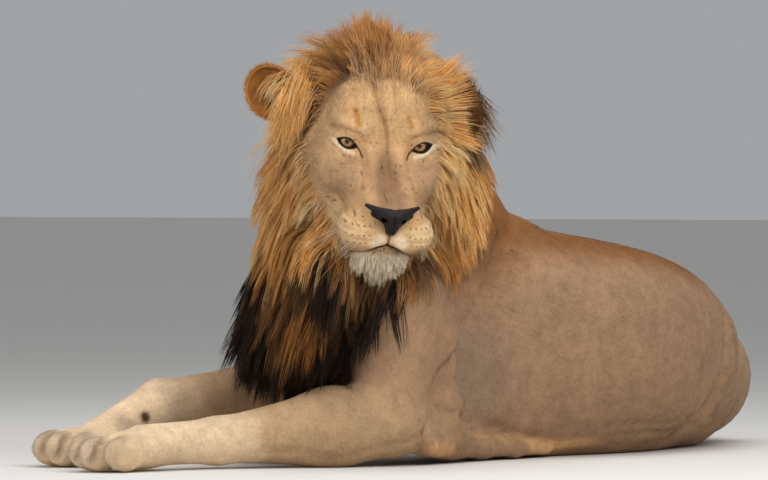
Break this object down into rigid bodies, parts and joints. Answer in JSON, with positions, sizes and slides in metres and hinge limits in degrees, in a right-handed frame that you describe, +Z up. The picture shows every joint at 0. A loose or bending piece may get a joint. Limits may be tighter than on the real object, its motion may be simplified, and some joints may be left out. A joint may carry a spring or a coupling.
{
  "type": "lion model",
  "caption": "Life-size still model of a maned adult male lion lying on its chest, forelegs stretched out, hips rolled to the left and head turned to its left.",
  "frame": {"origin": "on the floor under the middle of the whole lion's bounding box", "axes": "+X towards the hips, with the lion heading towards -X; -Y is its left side, which the head looks out over; +Z up"},
  "size_m": [1.8588, 1.012, 0.753],
  "materials": {
    "coat": "short tan hair lying flat",
    "mane_hair": "long golden to orange-brown hair",
    "dark_hair": "long blackish-brown hair",
    "nose_leather": "bare dark grained nose skin",
    "eye": "wet amber-brown eye"
  },
  "bodies": {
    "root": {"head": "coat", "nose": "nose_leather", "eye_left": "eye", "eye_right": "eye", "ear_left": "coat", "ear_right": "coat", "trunk": "coat", "upper_arm_left": "coat", "forearm_left": "coat", "forepaw_left": "coat", "upper_arm_right": "coat", "forearm_right": "coat", "forepaw_right": "coat", "thigh_left": "coat", "shank_left": "coat", "hindpaw_left": "coat", "thigh_right": "coat", "shank_right": "coat", "hindpaw_right": "coat", "tail_root": "coat", "tail": "coat", "tail_tuft": "dark_hair", "mane_crest": "mane_hair", "mane_cheek_left": "mane_hair", "mane_cheek_right": "mane_hair", "mane_neck": "mane_hair", "mane_bib": "dark_hair"}
  },
  "joints": []
}
